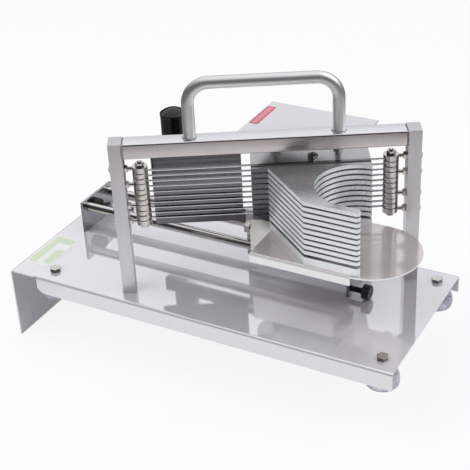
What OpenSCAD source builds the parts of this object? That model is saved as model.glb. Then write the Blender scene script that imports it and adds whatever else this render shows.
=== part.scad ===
// Push slicer for tomatoes: a pusher on two rods drives the fruit through a diagonal frame of blades.
// Millimetres, +Z up, X along the base. The origin is under the middle of the base, level with the lip's
// lower edge.
// Inside on_base() all places are measured from the front left corner of the base's top face.

/* [Base] */
// Length of the base
base_len = 430; // [400:1:480]
// Depth of the base
base_wid = 182; // [180:1:220]
// Thickness of the base and deck sheet
sheet_t = 1.5; // [1:0.1:2]
// Height of the folded front and rear edges
flange_h = 19; // [15:0.5:25]
// Outer radius of the folds
fold_r = 3; // [2.5:0.5:5]
// Distance from the left end to the start of the folded edges
flange_start = 31; // [20:1:36]
// Radius of the lower corner where a folded edge starts
flange_corner_r = 12; // [4:1:14]
// Radius of the relief cut beside the lip's fold
relief_r = 2; // [1:0.5:4]
// Reach of the lip at the left end below the feet
lip_drop = 55; // [20:1:90]

/* [Feet] */
// Distance of the left feet from the left end
foot_left = 45; // [35:1:60]
// Largest radius of a foot
foot_r = 16.8; // [14:0.1:20]
// Clearance between a foot and the folded edge
foot_gap = 0.7; // [0.5:0.1:6]
// Distance from the right feet to the right end
foot_end_gap = 0.2; // [0.2:0.1:12]
// Reach of the feet below the folded edges
foot_drop = 8; // [4:0.5:14]
// Diameter of the foot bolts
foot_bolt_d = 6; // [5:0.5:8]
// Length of thread inside a foot
foot_bolt_len = 12; // [8:1:13]
// Thickness of rubber below the thread
foot_bolt_floor = 3; // [1:0.5:4]
// Width of the foot's flat rim
foot_rim_t = 1.5; // [1:0.1:3]

/* [Rails] */
// Place of the left rail plate's outer face
rail_left = 26; // [20:1:32]
// Thickness of the rail plates
rail_t = 3; // [2:0.5:5]
// Place of the front rod's axis across the base
rod_y = 108; // [104:0.5:110]
// Height of the rods' axes above the base
rod_z = 28; // [25:0.5:34]
// Distance between the rods
rod_gap = 39; // [37:0.5:44]
// Diameter of the guide rods
rod_d = 10; // [8:0.5:12]
// Length of rod outside each rail plate
rod_stub = 2; // [1:0.5:8]
// Width of rail plate left beside the rods
rail_land = 4.5; // [3:0.5:8]
// Height of rail plate left above the rods
rail_top_land = 3; // [2:0.5:6]
// Radius of the rail plates' upper rear corner
rail_corner_r = 3; // [1:0.5:6]
// Diameter of the rubber stops
bumper_d = 14; // [10:0.5:15]
// Length of the rubber stops
bumper_len = 8; // [6:0.5:14]
// Clearance of the rubber stops above the base
bumper_lift = 17.5; // [10:0.5:20]

/* [Thumbscrew] */
// Diameter of the thumbscrew's shaft
screw_d = 6; // [5:0.5:8]
// Diameter of the thumbscrew's head
screw_head_d = 15; // [12:0.5:20]
// Length of the thumbscrew's head
screw_head_len = 8; // [6:0.5:12]
// Bare length between the rail plate and the head
screw_reach = 13; // [10:0.5:18]
// Clearance of the thumbscrew's head above the base
screw_lift = 1; // [0.5:0.5:3]
// Distance of the thumbscrew's axis from the front of the right rail plate
screw_in = 5; // [4:0.5:9]

/* [Blade frame] */
// Distance from the base's right end back to the frame's front left corner
frame_back = 296; // [285:1:310]
// Place across the base of the frame's front left corner
frame_y = 12; // [8:0.5:14]
// Angle of the frame to the base's length
frame_angle = 29.4; // [28:0.1:30]
// Width over the two uprights
frame_w = 298; // [270:1:310]
// Width of an upright
post_w = 13; // [10:0.5:16]
// Depth of the uprights and the beam
post_d = 19; // [16:0.5:22]
// Height of the beam
beam_h = 16; // [12:0.5:20]
// Clearance between the tension bolts and the beam
beam_gap = 6.2; // [2:0.1:10]

/* [Carry handle] */
// Diameter of the handle bar
handle_d = 12; // [10:0.5:14]
// Distance between the handle's legs
handle_span = 142; // [100:1:180]
// Height of the handle bar's axis above the beam
handle_rise = 55.5; // [45:0.5:70]
// Radius of the bends along the bar's axis
handle_bend_r = 21; // [16:0.5:30]

/* [Blades] */
// Slice thickness between two blades
slice_t = 5.3; // [4.5:0.1:8]
// Blade thickness
blade_t = 0.5; // [0.3:0.1:0.8]
// Blade depth
blade_depth = 4; // [3:0.5:8]
// Step from the spacers' outside to the blades' round ends
blade_tab_step = 1.5; // [0.5:0.1:2]
// Distance from one tooth to the next
tooth_pitch = 3; // [2.5:0.5:6]
// Depth of a tooth
tooth_depth = 0.8; // [0.4:0.1:1.5]
// Clearance between an upright and the spacers
column_gap = 7.5; // [5:0.5:10]
// Diameter of the tension bolts
column_d = 4.5; // [4:0.5:6]
// Diameter of the spacers on the tension bolts
spacer_d = 15; // [12:0.5:17]
// Diameter of the eye bolts' shanks
eye_d = 4; // [3:0.5:4.5]
// Length of thread past the thin outer nuts of the eye bolts
eye_end = 0.6; // [0.4:0.1:2]
// Bare thread beyond a nut
thread_end = 1.5; // [1:0.5:3]

/* [Carriage] */
// Distance from the deck's left end back to the carriage plate's left end
web_back = 44; // [36:0.5:50]
// Distance from the right tension bolt back to the right stop
stop_back = 30.6; // [24:0.1:36]
// Thickness of the carriage plate
web_t = 3; // [2:0.5:4]
// Lower edge of the carriage plate above the base
web_z0 = 10; // [6:0.5:14]
// Wall of the front slider beside the rod
slider_wall = 4.5; // [4.5:0.5:7]
// Height of the front slider's bolt above the rod
slider_rise = 22; // [20:0.5:26]
// Distance from the carriage plate's left end to the sliders
slider_inset = 14; // [12:0.5:20]
// Distance from the sliders to the carriage plate's right end
slider_end_gap = 7.7; // [3:0.1:16]
// Diameter of the bolt through the front slider
slider_bolt_d = 8; // [6:0.5:10]
// Step from the front slider's outside to its washers
washer_step = 1; // [0.5:0.5:2]
// Thickness of the slider bolt's washers
washer_t = 2; // [1:0.5:3]
// Height of the rear slider above the rod's axis
rear_slider_h = 18; // [12:0.5:22]
// Clearance between the front slider and the deck's support
seat_gap = 1; // [0.5:0.1:1.5]
// Clearance of the keeper fold below the rear rod
keeper_gap = 0.6; // [0.4:0.1:1]

/* [Deck] */
// Distance from the right tension bolt to the deck's left end
deck_back = 98.6; // [90:0.1:110]
// Distance from the right tension bolt to the centre of the deck's half-round end
deck_ahead = 5.4; // [0:0.1:15]
// Distance from the deck's front edge to the pusher plates
deck_margin = 2.2; // [1:0.1:4]
// Depth of the deck
deck_wid = 100; // [90:1:110]
// Height of the deck's folded front edge
deck_lip_h = 10; // [6:0.5:16]
// Distance from the deck's front edge to its support
deck_seat = 20; // [10:1:40]

/* [Pusher] */
// Thickness of the thick lowest plate
pusher_base_t = 8.5; // [6:0.5:12]
// Height of the rings under the lowest thin plate
low_ring_h = 2.9; // [2:0.1:6]
// Clearance between a pusher plate and a blade
plate_gap = 0.55; // [0.4:0.05:1.2]
// Distance along the frame from the right tension bolt to the plates' left end
bar_left = 135.2; // [130:0.1:140]
// Distance along the frame from the right tension bolt to the plates' right end
bar_right = 19; // [16:0.5:24]
// Distance from the frame's front face to the front edge of the plates' rear bar
bar_front = 3; // [1:0.5:6]
// Distance from the frame's front face to the plates' rear edge
bar_rear = 54; // [52:0.5:60]
// Radius of the plates' rear left corner
bar_corner_r = 20; // [8:0.5:24]
// Distance along the frame from the right tension bolt to the right rear stud
stud_back = 48; // [44:0.5:54]
// Distance along the frame between the rear studs
stud_span = 62; // [50:0.5:66]
// Distance from the frame's front face to the rear studs
stud_deep = 43; // [40:0.5:45]
// Distance along the frame from the right tension bolt to the front stud
front_stud_back = 74.6; // [60:0.1:90]
// Clearance between the front stud's rings and the blades
front_stud_gap = 1; // [0.5:0.1:3]
// Clearance between the left spacers and the plates' front edge
plate_front_gap = 1.7; // [0.5:0.1:5]
// Distance along the frame from the right tension bolt to the rear end of the slanted edge
slant_back = 119; // [114:0.5:124]
// Distance from the right tension bolt to the front end of the slanted edge
slant_front = 41.6; // [36:0.1:50]
// Reach of the front arm past the right tension bolt
arm_reach = 13.4; // [4:0.1:20]
// Width of the front arm
arm_wid = 7.3; // [4:0.1:12]
// Distance from the right tension bolt to the round notch's centre
notch_back = 7.6; // [4:0.1:14]
// Radius of the round notch
notch_r = 41.5; // [36:0.5:44]
// Diameter of the studs
stud_d = 6; // [5:0.5:8]
// Wall of the rings between the plates
ring_wall = 3; // [2:0.5:5]

/* [Guards] */
// Height of the top guard above the top plate
guard_lift = 27.6; // [18:0.1:40]
// Distance from the right tension bolt to the top guard's left edge
guard_left = 136.5; // [128:0.5:142]
// Distance from the right tension bolt to the top guard's right edge
guard_right = 21; // [16:0.5:26]
// Reach of the top guard behind the right tension bolt
guard_deep = 18.8; // [16:0.1:24]
// Clearance between the beam and the top guard
guard_gap = 1.5; // [1:0.5:4]
// Length of the finger panel, which stands along the blades
panel_len = 90; // [80:0.5:96]
// Length of the panel's tab on the arm
panel_tab = 45; // [42:0.5:60]
// Clearance between the finger panel and the front slider's bolt
panel_end_gap = 5.5; // [0.5:0.5:20]
// Height of the finger panel
panel_h = 84; // [60:1:90]
// Height of the panel's lower edge above that of its arm
panel_lift = 3; // [0.5:0.5:6]
// Radius of the panel's lower left corner
panel_corner_r = 2; // [1:0.5:8]
// Diameter of the panel's screws
panel_screw_d = 4; // [3:0.5:5]
// Distance of the right panel screw from the panel's right edge
panel_screw_inset = 18; // [17:0.5:22]

/* [Push handle] */
// Length of the arm that carries the panel and the handle
arm_len = 106; // [100:1:112]
// Clearance of that arm above the rail plates
arm_clear = 12; // [11:0.5:16]
// Distance from the arm's left end to the handle's axis
grip_in = 15.5; // [13:0.5:20]
// Diameter of the grip
grip_d = 27.5; // [24:0.5:34]
// Clearance between the grip and the arm
grip_gap = 0.75; // [0.5:0.05:4]
// Clearance between the post's block and the grip
grip_lift = 12.5; // [4:0.5:16]
// Length of the grip
grip_len = 82; // [70:1:110]
// Height of the grip's domed top
grip_dome = 8; // [5:0.5:11]
// Diameter of the handle post
post_rod_d = 12; // [10:0.5:16]
// Width of the block at the post's foot
post_block_w = 26; // [22:1:32]
// Step from the arm's top down to the block's top
post_block_step = 2; // [0:0.5:6]

/* [Fits] */
// Radial clearance of a running fit
run_gap = 0.05; // [0.03:0.01:0.08]
// Radial clearance of a bolt in its hole
hole_gap = 0.05; // [0.03:0.01:0.1]
// Clearance of the carriage from the right stop
stop_gap = 0.3; // [0.3:0.1:0.6]

/* [Hidden] */
$fn = 64;

// Overcut used only to cut cleanly through a face
cut = 1;
// Part of a hexagon's width that doesn't grow with its bolt
hex_extra = 1;

// Feet
foot_inset = sheet_t + foot_gap + foot_r;
foot_h = flange_h - sheet_t + foot_drop;
lip_h = flange_h + foot_drop + lip_drop;

// Rails
rod_rear_y = rod_y + rod_gap;
rail_front = rod_y - rod_d / 2 - rail_land;
rail_depth = rod_gap + rod_d + 2 * rail_land;
rail_h = rod_z + rod_d / 2 + rail_top_land;
rail_inner_left = rail_left + rail_t;
screw_y = rail_front + screw_in;
screw_z = screw_head_d / 2 + screw_lift;

// Blade columns and the place of the pusher, which starts level with the right column
blade_count = 10;
blade_pitch = slice_t + blade_t;
frame_x = base_len - frame_back;
column_w = post_d / 2;
column_inset = post_w + column_gap + spacer_d / 2;
left_column = frame_point(column_inset, column_w);
right_column = frame_point(frame_w - column_inset, column_w);
pusher_x = right_column[0];
// Levels, counted from the top spacer, at which an eye bolt takes a spacer's place
eye_levels = [0, 3, 7, blade_count];
spacer_levels = [for (k = [0 : blade_count]) if (len(search(k, eye_levels)) == 0) k];
eye_tail = nut_h(eye_d) / 2 + eye_end;

// Carriage: its right end rests against the right stop
web_x1 = pusher_x - stop_back - stop_gap;
rail_inner_right = pusher_x - stop_back + bumper_len;
rail_right = rail_inner_right + rail_t;
deck_x0 = pusher_x - deck_back;
web_x0 = deck_x0 - web_back;
slider_d = rod_d + 2 * slider_wall;
slider_z = rod_z + slider_rise;
slider_x0 = web_x0 + slider_inset;
slider_x1 = web_x1 - slider_end_gap;
slider_bolt_tail = washer_t + nut_h(slider_bolt_d) + thread_end;
web_y0 = rod_y + slider_d / 2;
web_y1 = web_y0 + web_t;
web_top = slider_z + slider_d / 2 + seat_gap + web_t;
bumper_y = web_y0 + bumper_d / 2 - web_t;
bumper_z = bumper_d / 2 + bumper_lift;
keeper_z = rod_z - rod_d / 2 - keeper_gap - web_t;

// Heights of the stack, from the deck up
deck_z = web_top + sheet_t;
pusher_base_top = deck_z + pusher_base_t;
plate_t = slice_t - 2 * plate_gap;
low_plate_z = pusher_base_top + low_ring_h + plate_t / 2;
guard_z = plate_z(1) + plate_t / 2 + guard_lift;
column_top = spacer_z(0) + slice_t / 2 + nut_h(column_d) + thread_end;
column_bottom = spacer_z(blade_count) - slice_t / 2 - nut_h(column_d) - thread_end;
frame_h = column_top + beam_gap + beam_h;

// Outline of the stack
guard_front_w = post_d + guard_gap;
ring_d = stud_d + 2 * ring_wall;
pusher_u = frame_w - column_inset;
bar_u0 = pusher_u - bar_left;
bar_u1 = pusher_u - bar_right;
slant_u = pusher_u - slant_back;
front_stud_w = column_w + blade_depth / 2 + front_stud_gap + ring_d / 2;
front_stud = frame_point(pusher_u - front_stud_back, front_stud_w);
rear_studs = [for (back = [stud_back + stud_span, stud_back]) frame_point(pusher_u - back, stud_deep)];
studs = concat([front_stud], rear_studs);
plate_y0 = left_column[1] + spacer_d / 2 + plate_front_gap;
arm_end_x = pusher_x + arm_reach - arm_wid / 2;
notch_c = [pusher_x - notch_back, plate_y0 + arm_wid + notch_r];
guard_x0 = pusher_x - guard_left;
guard_x1 = pusher_x - guard_right;
guard_y1 = right_column[1] + guard_deep;
far = 2 * base_len;

// Deck
deck_cx = pusher_x + deck_ahead;
deck_y0 = plate_y0 - deck_margin;
deck_seat_y0 = deck_y0 + deck_seat;

// Arm, panel and push handle
arm_z0 = rail_h + arm_clear;
arm_x0 = web_x0 - arm_len;
panel_x1 = slider_x0 - slider_bolt_tail - panel_end_gap;
panel_tab_x = panel_x1 - panel_tab;
panel_y0 = web_y0 - sheet_t;
panel_z0 = arm_z0 + panel_lift;
panel_end_x = panel_x1 - sheet_t / 2;
panel_end_y = panel_y0 + sheet_t * (1 - cos(frame_angle)) / 2;
panel_screw_head_d = 2 * panel_screw_d;
panel_screw_head_h = 0.6 * panel_screw_d;
panel_screw_z = (arm_z0 + web_top) / 2;
panel_screw_at = [
    [panel_tab_x + panel_screw_head_d, panel_screw_z],
    [panel_x1 - panel_screw_inset, panel_screw_z]
];
grip_x = arm_x0 + grip_in;
grip_y = web_y1 + grip_gap + grip_d / 2;
post_block_z1 = web_top - post_block_step;
grip_z0 = post_block_z1 + grip_lift;
grip_z1 = grip_z0 + grip_len;
post_top = grip_z1 - 2 * grip_dome;
dome_r = (pow(grip_d / 2, 2) + pow(grip_dome, 2)) / (2 * grip_dome);

steel = [0.80, 0.80, 0.82];
satin = [0.72, 0.72, 0.73];
pale = [0.86, 0.89, 0.91];
nickel = [0.74, 0.70, 0.66];
black = [0.06, 0.06, 0.07];
cream = [0.87, 0.83, 0.74];
clear_blue = [0.70, 0.74, 0.86];

// Usual sizes of a hexagon and a nut on a bolt of diameter d
function hex_af(d) = 1.5 * d + hex_extra;
function nut_h(d) = 0.8 * d;
function head_h(d) = 0.65 * d;
function spacer_z(k) = low_plate_z + (blade_count - k) * blade_pitch;
function blade_z(i) = spacer_z(i) + blade_pitch / 2;
function plate_z(i) = spacer_z(i);
function foot_at(i) = [
    i % 2 == 1 ? foot_left : base_len - foot_end_gap - foot_r,
    i <= 2 ? foot_inset : base_wid - foot_inset
];
// Place on the base of a point given along and across the frame
function frame_point(u, w) = [
    frame_x + cos(frame_angle) * u - sin(frame_angle) * w,
    frame_y + sin(frame_angle) * u + cos(frame_angle) * w
];
// Place across the base at which a line along the frame crosses x
function frame_line_y(x, w) = frame_y + (w + sin(frame_angle) * (x - frame_x)) / cos(frame_angle);

module on_base() {
    translate([-base_len / 2, -base_wid / 2, lip_h]) children();
}

module on_frame() {
    on_base() translate([frame_x, frame_y, 0]) rotate([0, 0, frame_angle]) children();
}

// Places children at the left end of the frame, or mirrored at its right end
module at_end(at_right) {
    if (at_right) on_frame() translate([frame_w, 0, 0]) mirror([1, 0, 0]) children();
    else on_frame() children();
}

module bar_x(d, x0, x1) {
    translate([x0, 0, 0]) rotate([0, 90, 0]) cylinder(d = d, h = x1 - x0);
}

// Hexagon for a bolt of diameter d
module hex(d, h) {
    cylinder(r = hex_af(d) / sqrt(3), h = h, $fn = 6);
}

module hex_nut(d, h) {
    difference() {
        hex(d, h);
        translate([0, 0, -cut]) cylinder(d = d + 2 * hole_gap, h = h + 2 * cut);
    }
}

module ring(d, bore, h) {
    difference() {
        cylinder(d = d, h = h);
        translate([0, 0, -cut]) cylinder(d = bore + 2 * hole_gap, h = h + 2 * cut);
    }
}

// Sheet profile: flat top of width w with an edge of height h folded down at x = 0
module fold_block(w, h, r) {
    translate([0, -h]) square([w, h - r]);
    translate([r, -r]) square([w - r, r]);
    translate([r, -r]) circle(r);
}

module fold_profile(w, h, t, r) {
    difference() {
        fold_block(w, h, r);
        translate([t, -t]) fold_block(w, h, r - t);
    }
}

// Square corner less its inscribed round, for rounding an edge by cutting
module corner_cut(r) {
    difference() {
        translate([-cut, -cut]) square(r + cut);
        translate([r, r]) circle(r);
    }
}

module base_channel() {
    rotate([90, 0, 90]) linear_extrude(base_len - flange_start) {
        fold_profile(base_wid / 2, flange_h, sheet_t, fold_r);
        translate([base_wid, 0]) mirror([1, 0]) fold_profile(base_wid / 2, flange_h, sheet_t, fold_r);
    }
}

module base_plate() {
    color(steel) on_base() difference() {
        union() {
            translate([flange_start, 0, 0]) base_channel();
            translate([0, base_wid, 0]) rotate([90, 0, 0]) linear_extrude(base_wid)
                fold_profile(flange_start, lip_h, sheet_t, fold_r);
        }
        translate([flange_start, base_wid + cut, -flange_h]) rotate([90, 0, 0])
            linear_extrude(base_wid + 2 * cut) corner_cut(flange_corner_r);
        for (y = [0, base_wid])
            translate([flange_start, y, -flange_h]) cylinder(r = relief_r, h = flange_h + cut);
        for (i = [1 : 4])
            translate(concat(foot_at(i), -sheet_t - cut))
                cylinder(d = foot_bolt_d + 2 * hole_gap, h = sheet_t + 2 * cut);
    }
}

module foot_cup(i) {
    bore_r = foot_bolt_d / 2 + hole_gap;
    boss_r = foot_r * 0.55;
    bore_end = foot_bolt_len + foot_bolt_floor;
    color(clear_blue) on_base() translate(concat(foot_at(i), -sheet_t)) rotate_extrude() polygon([
        [bore_r, 0], [boss_r, 0], [boss_r, -foot_h * 0.14], [foot_r * 0.78, -foot_h * 0.34],
        [foot_r * 0.94, -foot_h * 0.55], [foot_r, -foot_h * 0.75], [foot_r * 0.97, -foot_h * 0.9],
        [foot_r * 0.9, -foot_h], [foot_r * 0.9 - foot_rim_t, -foot_h], [foot_r * 0.55, -foot_h * 0.82],
        [0, -foot_h * 0.74], [0, -bore_end], [bore_r, -bore_end]
    ]);
}

module foot_bolts() {
    color(nickel) on_base() for (i = [1 : 4]) translate(concat(foot_at(i), 0)) {
        hex(foot_bolt_d, head_h(foot_bolt_d));
        translate([0, 0, -sheet_t - foot_bolt_len]) cylinder(d = foot_bolt_d, h = sheet_t + foot_bolt_len);
    }
}

module rail_plate(x0) {
    difference() {
        translate([x0, rail_front, 0]) cube([rail_t, rail_depth, rail_h]);
        for (y = [rod_y, rod_rear_y])
            translate([0, y, rod_z]) bar_x(rod_d + 2 * hole_gap, x0 - cut, x0 + rail_t + cut);
        translate([x0 - cut, rail_front + rail_depth, rail_h]) rotate([180, 0, 0]) rotate([90, 0, 90])
            linear_extrude(rail_t + 2 * cut) corner_cut(rail_corner_r);
    }
}

module left_end_plate() {
    color(satin) on_base() rail_plate(rail_left);
}

module right_end_plate() {
    color(satin) on_base() difference() {
        rail_plate(rail_inner_right);
        translate([0, screw_y, screw_z])
            bar_x(screw_d + 2 * run_gap, rail_inner_right - cut, rail_right + cut);
    }
}

module guide_rod(y) {
    color(steel) on_base() translate([0, y, rod_z])
        bar_x(rod_d, rail_left - rod_stub, rail_right + rod_stub);
}

module bumper(x0) {
    color(black) on_base() translate([0, bumper_y, bumper_z]) bar_x(bumper_d, x0, x0 + bumper_len);
}

module thumbscrew() {
    head_x = rail_right + screw_reach;
    color(black) on_base() translate([0, screw_y, screw_z]) {
        bar_x(screw_d, rail_inner_right, head_x);
        bar_x(screw_head_d, head_x, head_x + screw_head_len);
    }
}

module upright(at_right) {
    color(satin) at_end(at_right) difference() {
        cube([post_w, post_d, frame_h]);
        for (k = eye_levels)
            translate([0, column_w, spacer_z(k)]) bar_x(eye_d + 2 * hole_gap, -cut, post_w + cut);
    }
}

module top_beam() {
    color(satin) on_frame() translate([post_w, 0, frame_h - beam_h])
        cube([frame_w - 2 * post_w, post_d, beam_h]);
}

module handle_half() {
    leg_u = handle_span / 2;
    translate([leg_u, 0, 0]) cylinder(d = handle_d, h = handle_rise - handle_bend_r);
    translate([leg_u - handle_bend_r, 0, handle_rise - handle_bend_r]) rotate([90, 0, 0])
        rotate_extrude(angle = 90) translate([handle_bend_r, 0]) circle(d = handle_d);
    translate([0, 0, handle_rise]) bar_x(handle_d, 0, leg_u - handle_bend_r);
}

module carry_handle() {
    color(steel) on_frame() translate([frame_w / 2, column_w, frame_h]) {
        handle_half();
        mirror([1, 0, 0]) handle_half();
    }
}

module tension_bolt(at_right) {
    color(nickel) at_end(at_right) translate([column_inset, column_w, column_bottom])
        cylinder(d = column_d, h = column_top - column_bottom);
}

module column_spacers(at_right) {
    color(nickel) at_end(at_right) for (k = spacer_levels)
        translate([column_inset, column_w, spacer_z(k) - slice_t / 2]) ring(spacer_d, column_d, slice_t);
}

module tension_nuts() {
    nut = nut_h(column_d);
    nut_levels = [spacer_z(0) + slice_t / 2, spacer_z(blade_count) - slice_t / 2 - nut];
    color(nickel) for (at_right = [false, true]) at_end(at_right) for (z = nut_levels)
        translate([column_inset, column_w, z]) hex_nut(column_d, nut);
}

module eye_bolts(at_right) {
    color(nickel) at_end(at_right) for (k = eye_levels) translate([0, column_w, spacer_z(k)]) difference() {
        union() {
            translate([column_inset, 0, -slice_t / 2]) cylinder(d = spacer_d, h = slice_t);
            bar_x(eye_d, -eye_tail, column_inset - column_d / 2 - eye_d / 2);
        }
        translate([column_inset, 0, -slice_t]) cylinder(d = column_d + 2 * hole_gap, h = 2 * slice_t);
    }
}

module eye_nuts() {
    color(nickel) for (at_right = [false, true]) at_end(at_right)
        for (k = eye_levels) translate([0, column_w, spacer_z(k)]) rotate([0, 90, 0]) {
            translate([0, 0, post_w]) hex_nut(eye_d, nut_h(eye_d));
            translate([0, 0, -nut_h(eye_d) / 2]) hex_nut(eye_d, nut_h(eye_d) / 2);
        }
}

// Ribbon with a toothed front edge and round ends between the spacers
module blade_outline() {
    u0 = column_inset;
    u1 = frame_w - column_inset;
    w0 = column_w - blade_depth / 2;
    w1 = column_w + blade_depth / 2;
    teeth_u0 = u0 + spacer_d / 2 + tooth_pitch;
    tooth_n = floor((frame_w - 2 * teeth_u0) / tooth_pitch);
    polygon(concat(
        [[u1, w0 + tooth_depth], [u1, w1], [u0, w1], [u0, w0 + tooth_depth]],
        [for (k = [0 : tooth_n - 1]) each [
            [teeth_u0 + k * tooth_pitch, w0 + tooth_depth],
            [teeth_u0 + (k + 0.5) * tooth_pitch, w0]
        ]],
        [[teeth_u0 + tooth_n * tooth_pitch, w0 + tooth_depth]]
    ));
    for (u = [u0, u1]) translate([u, column_w]) circle(d = spacer_d - 2 * blade_tab_step);
}

module blade(i) {
    color(steel) on_frame() translate([0, 0, blade_z(i) - blade_t / 2])
        linear_extrude(blade_t) difference() {
            blade_outline();
            for (u = [column_inset, frame_w - column_inset])
                translate([u, column_w]) circle(d = column_d + 2 * hole_gap);
        }
}

module carriage_web() {
    color(satin) on_base() difference() {
        union() {
            translate([web_x0, web_y0, web_z0]) cube([web_x1 - web_x0, web_t, web_top - web_z0]);
            translate([arm_x0, web_y0, arm_z0]) cube([web_x0 - arm_x0, web_t, web_top - arm_z0]);
            translate([deck_x0, deck_seat_y0, web_top - web_t])
                cube([web_x1 - deck_x0, web_y1 - deck_seat_y0, web_t]);
            translate([web_x0, web_y0, keeper_z])
                cube([web_x1 - web_x0, rod_rear_y + rod_d / 2 - web_y0, web_t]);
        }
        for (p = panel_screw_at)
            translate([p[0], web_y0 - cut, p[1]]) rotate([-90, 0, 0])
                cylinder(d = panel_screw_d + 2 * hole_gap, h = web_t + 2 * cut);
    }
}

module front_slider() {
    color(cream) on_base() difference() {
        union() {
            translate([0, rod_y, slider_z]) bar_x(slider_d, slider_x0, slider_x1);
            translate([slider_x0, rod_y - slider_d / 2, rod_z])
                cube([slider_x1 - slider_x0, slider_d, slider_z - rod_z]);
        }
        translate([0, rod_y, rod_z]) bar_x(rod_d + 2 * run_gap, slider_x0 - cut, slider_x1 + cut);
        translate([0, rod_y, slider_z])
            bar_x(slider_bolt_d + 2 * hole_gap, slider_x0 - cut, slider_x1 + cut);
    }
}

module rear_slider() {
    color(cream) on_base() difference() {
        translate([slider_x0, web_y1, rod_z])
            cube([slider_x1 - slider_x0, rod_rear_y + slider_d / 2 - web_y1, rear_slider_h]);
        translate([0, rod_rear_y, rod_z]) bar_x(rod_d + 2 * run_gap, slider_x0 - cut, slider_x1 + cut);
    }
}

module slider_bolts() {
    washer_d = slider_d - 2 * washer_step;
    nut = nut_h(slider_bolt_d);
    color(nickel) on_base() translate([0, rod_y, slider_z]) {
        bar_x(slider_bolt_d, slider_x0 - slider_bolt_tail, slider_x1 + slider_bolt_tail);
        for (x = [slider_x0 - washer_t, slider_x1]) bar_x(washer_d, x, x + washer_t);
        for (x = [slider_x0 - washer_t - nut, slider_x1 + washer_t])
            translate([x, 0, 0]) rotate([0, 90, 0]) hex(slider_bolt_d, nut);
    }
}

module deck_tray() {
    deck_r = deck_wid / 2;
    color(pale) on_base() translate([0, deck_y0, deck_z]) {
        translate([deck_x0, 0, 0]) rotate([90, 0, 90]) linear_extrude(deck_cx - deck_x0)
            fold_profile(deck_wid, deck_lip_h, sheet_t, fold_r);
        translate([deck_cx, deck_r, -sheet_t]) intersection() {
            cylinder(r = deck_r, h = sheet_t, $fn = 128);
            translate([0, -deck_r, 0]) cube([deck_r, deck_wid, sheet_t]);
        }
    }
}

// Notched outline of the pusher plates: a bar along the frame with a slanted arm in front of it
module pusher_outline() {
    corner_u = bar_u0 + bar_corner_r;
    corner_w = bar_rear - bar_corner_r;
    difference() {
        union() {
            polygon([
                frame_point(bar_u0, bar_front), frame_point(bar_u1, bar_front),
                frame_point(bar_u1, bar_rear), frame_point(corner_u, bar_rear),
                frame_point(corner_u, corner_w), frame_point(bar_u0, corner_w)
            ]);
            translate(frame_point(corner_u, corner_w)) circle(bar_corner_r);
            polygon([
                frame_point(slant_u, bar_front), [pusher_x - slant_front, plate_y0], [arm_end_x, plate_y0],
                [arm_end_x, plate_y0 + arm_wid], [notch_c[0], plate_y0 + arm_wid], notch_c,
                frame_point(bar_u1, bar_front - notch_r / 2), frame_point(bar_u1, stud_deep),
                frame_point(slant_u, stud_deep)
            ]);
            translate([arm_end_x, plate_y0 + arm_wid / 2]) circle(d = arm_wid);
        }
        translate(notch_c) circle(notch_r, $fn = 96);
        for (p = studs) translate(p) circle(d = stud_d + 2 * hole_gap);
    }
}

// Thick lowest plate, which stops short of the comb at the left
module pusher_base() {
    color(pale) on_base() translate([0, 0, deck_z]) linear_extrude(pusher_base_t) difference() {
        pusher_outline();
        polygon([
            frame_point(0, bar_front - cut), frame_point(slant_u, bar_front - cut),
            frame_point(slant_u, far), frame_point(0, far)
        ]);
    }
}

module pusher_plate(i) {
    color(pale) on_base() translate([0, 0, plate_z(i) - plate_t / 2])
        linear_extrude(plate_t) pusher_outline();
}

module plate_spacers() {
    lowest_gap = plate_z(blade_count) - plate_t / 2 - pusher_base_top;
    color(nickel) on_base() for (p = studs) translate(concat(p, 0)) {
        translate([0, 0, pusher_base_top]) ring(ring_d, stud_d, lowest_gap);
        for (i = [2 : blade_count])
            translate([0, 0, plate_z(i) + plate_t / 2]) ring(ring_d, stud_d, blade_pitch - plate_t);
    }
}

module stack_studs() {
    front_top = plate_z(1) + plate_t / 2 + nut_h(stud_d) + thread_end;
    color(nickel) on_base() {
        translate(concat(front_stud, deck_z)) cylinder(d = stud_d, h = front_top - deck_z);
        for (p = rear_studs) translate(concat(p, deck_z))
            cylinder(d = stud_d, h = guard_z + sheet_t - deck_z);
    }
}

module stack_nuts() {
    nut = nut_h(stud_d);
    color(nickel) on_base() {
        for (p = studs) translate(concat(p, plate_z(1) + plate_t / 2)) hex_nut(stud_d, nut);
        for (p = rear_studs) translate(concat(p, guard_z - nut)) hex_nut(stud_d, nut);
    }
}

module top_guard() {
    color(pale) on_base() translate([0, 0, guard_z]) linear_extrude(sheet_t) difference() {
        polygon([
            [guard_x0, frame_line_y(guard_x0, guard_front_w)],
            [guard_x1, frame_line_y(guard_x1, guard_front_w)],
            [guard_x1, guard_y1],
            [guard_x0, guard_y1]
        ]);
        for (p = rear_studs) translate(p) circle(d = stud_d + 2 * hole_gap);
    }
}

module finger_guard() {
    color([0.22, 0.22, 0.24]) on_base() {
        translate([panel_end_x, panel_end_y, panel_z0]) rotate([0, 0, frame_angle])
            translate([-panel_len, sheet_t, 0]) rotate([90, 0, 0]) linear_extrude(sheet_t) difference() {
                square([panel_len, panel_h]);
                corner_cut(panel_corner_r);
            }
        difference() {
            translate([panel_tab_x, panel_y0, arm_z0]) cube([panel_tab, sheet_t, web_top - arm_z0]);
            for (p = panel_screw_at)
                translate([p[0], panel_y0 - cut, p[1]]) rotate([-90, 0, 0])
                    cylinder(d = panel_screw_d + 2 * hole_gap, h = sheet_t + 2 * cut);
        }
    }
}

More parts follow.
